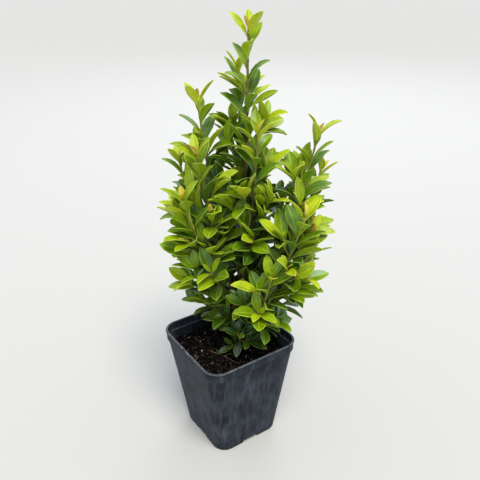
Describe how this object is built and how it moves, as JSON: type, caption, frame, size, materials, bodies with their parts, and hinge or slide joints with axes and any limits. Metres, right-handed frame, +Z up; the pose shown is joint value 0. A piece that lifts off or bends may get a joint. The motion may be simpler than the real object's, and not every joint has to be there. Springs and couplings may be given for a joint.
{
  "type": "potted ilex maximowicziana shrub",
  "caption": "Young bushy evergreen holly with upright leafy shoots on a short forked trunk, growing in a square tapered nursery pot of compost.",
  "frame": {"origin": "middle of the pot's flat underside, on the surface that the pot stands on", "axes": "+Z up the plant; the pot's four flat sides face +X, -X, +Y and -Y, with -Y the front"},
  "size_m": [0.1473, 0.1434, 0.3692],
  "materials": {
    "pot_plastic": "dark grey recycled polypropylene, thermoformed, satin with a scuffed paler rim",
    "compost": "moist dark peat and fibre",
    "bark": "thin brown bark with fine cracks, matt",
    "young_bark": "smooth olive green young bark, satin",
    "foliage": "glossy leathery leaves, mid to dark green, with yellow green new growth at the tips"
  },
  "bodies": {
    "root": {"pot": "pot_plastic", "compost": "compost", "trunk": "bark", "foliage_base_1": "foliage", "foliage_base_2": "foliage", "foliage_base_3": "foliage", "bough_low_1": "young_bark", "foliage_low_1": "foliage", "bough_low_2": "young_bark", "foliage_low_2": "foliage", "bough_low_3": "young_bark", "foliage_low_3": "foliage", "bough_low_4": "young_bark", "foliage_low_4": "foliage", "bough_low_5": "young_bark", "foliage_low_5": "foliage", "bough_middle_1": "young_bark", "foliage_middle_1": "foliage", "bough_middle_2": "young_bark", "foliage_middle_2": "foliage", "bough_middle_3": "young_bark", "foliage_middle_3": "foliage", "bough_middle_4": "young_bark", "foliage_middle_4": "foliage", "bough_middle_5": "young_bark", "foliage_middle_5": "foliage", "bough_leader_1": "young_bark", "foliage_leader_1": "foliage", "bough_leader_2": "young_bark", "foliage_leader_2": "foliage", "bough_leader_3": "young_bark", "foliage_leader_3": "foliage", "bough_leader_4": "young_bark", "foliage_leader_4": "foliage", "bough_leader_5": "young_bark", "foliage_leader_5": "foliage", "foliage_centre_1": "foliage"}
  },
  "joints": []
}
